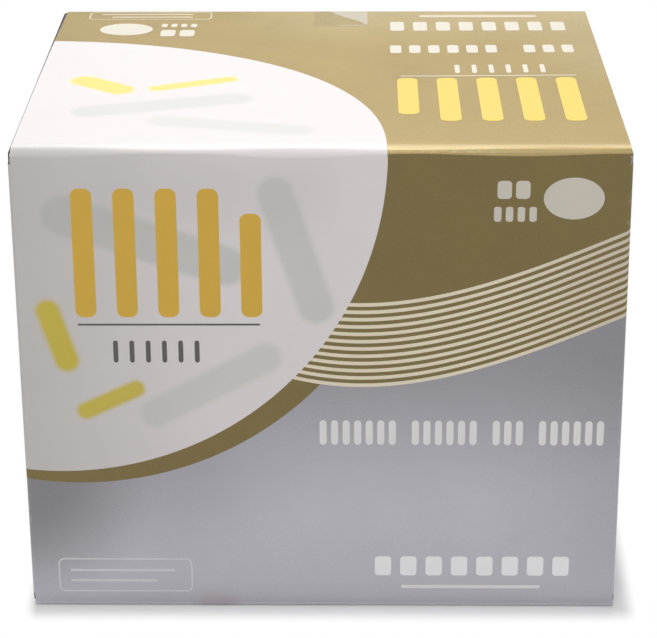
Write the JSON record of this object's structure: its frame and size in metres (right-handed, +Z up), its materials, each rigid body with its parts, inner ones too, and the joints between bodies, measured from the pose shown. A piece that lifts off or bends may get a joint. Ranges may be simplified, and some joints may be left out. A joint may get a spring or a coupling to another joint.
{
  "type": "carton of hypodermic needles",
  "caption": "Closed folding carton of packed hypodermic needles, with a tuck-in lid held down by a strip of clear tape.",
  "frame": {"origin": "middle of the footprint, on the surface that the carton stands on", "axes": "+X to the right across the front panel, +Y from the front panel to the back panel, +Z up through the lid"},
  "size_m": [0.125, 0.1001, 0.1041],
  "materials": {
    "printed_card": "gloss",
    "clear_tape": "gloss"
  },
  "bodies": {
    "root": {"carton": "printed_card", "seal_tape": "clear_tape"}
  },
  "joints": []
}
